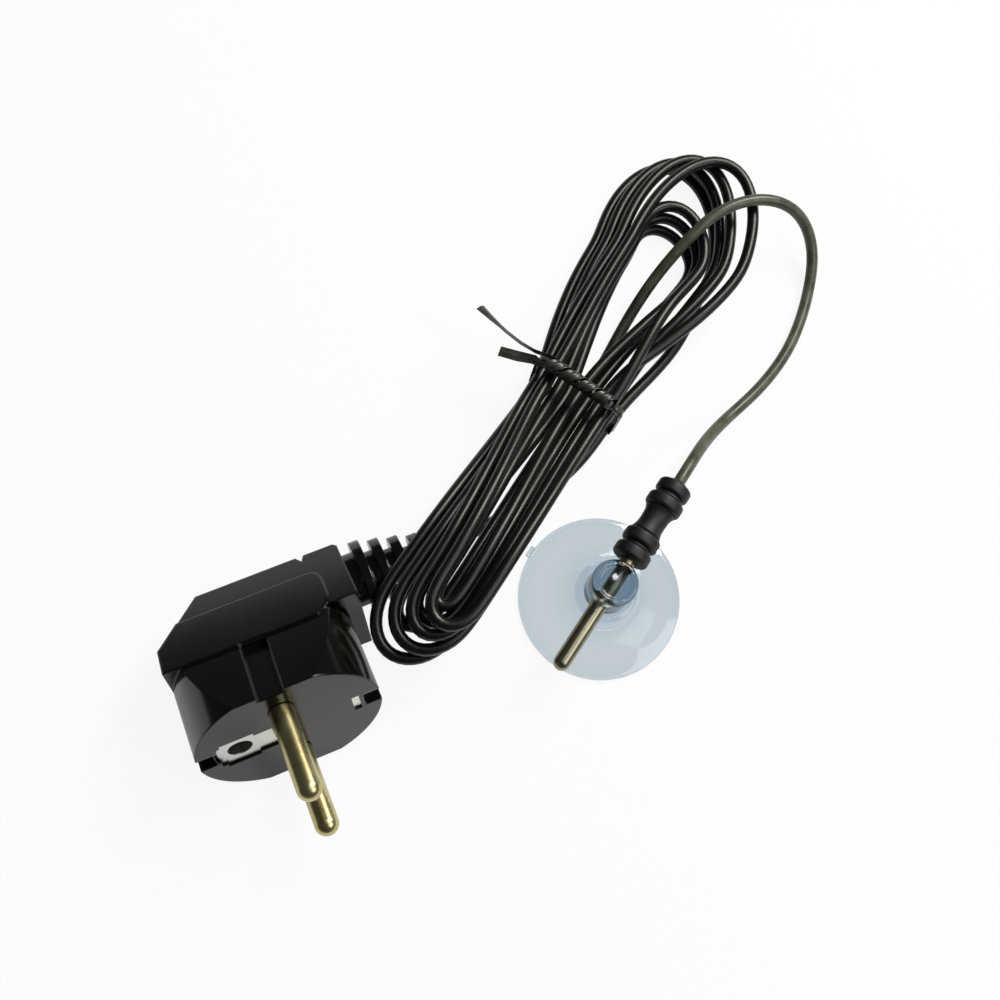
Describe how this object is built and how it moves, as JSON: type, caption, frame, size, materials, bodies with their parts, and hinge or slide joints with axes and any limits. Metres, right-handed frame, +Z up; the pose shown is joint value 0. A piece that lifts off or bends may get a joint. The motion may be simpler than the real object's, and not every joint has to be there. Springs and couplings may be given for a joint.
{
  "type": "aquarium grounding probe",
  "caption": "Aquarium grounding probe: metal rod in a ringed rubber gland, held by a sliding clear suction cup, on a thin lead folded in a tied hank with an angled mains plug.",
  "frame": {"origin": "Centre of the suction cup's rim face, which lies on the surface that the whole part lies on.", "axes": "+Y along the rod from its tip to the gland, +Z up from the rim face, +X away from the hank and the plug."},
  "size_m": [0.0861, 0.1754, 0.0336],
  "materials": {
    "rod_metal": "satin, warm grey",
    "brass": "plain",
    "copper": "bare copper strands",
    "seal": "matt shrunk tube",
    "gland_rubber": "matt moulded rubber",
    "cord_black": "glossy vinyl sheath",
    "clear_vinyl": "clear soft vinyl with a blue tint",
    "tie_black": "matt coated wire",
    "plug_black": "fine matt moulding",
    "nylon": "plain",
    "pin_metal": "polished, pale brass",
    "strip_metal": "bright plated"
  },
  "bodies": {
    "probe_and_cord": {"probe_rod": "rod_metal", "crimp_sleeve": "brass", "rod_conductor": "copper", "seal_sleeve": "seal", "cord_gland": "gland_rubber", "gland_cord_end": "cord_black", "cord_tail": "cord_black", "cord_hank": "cord_black", "cord_lead": "cord_black", "twist_tie": "tie_black", "plug_body": "plug_black", "pin_bridge": "nylon", "line_pin": "pin_metal", "neutral_pin": "pin_metal", "earth_strip": "strip_metal", "earth_contact": "strip_metal", "earth_crimp": "strip_metal", "plug_conductor": "copper", "plug_cord_end": "cord_black"},
    "cup": {"suction_cup": "clear_vinyl"}
  },
  "joints": [
    {"name": "cup_slide", "type": "slide", "parent": "probe_and_cord", "child": "cup", "axis": [0, 1, 0], "range_m": [-0.014, 0.0014]}
  ]
}
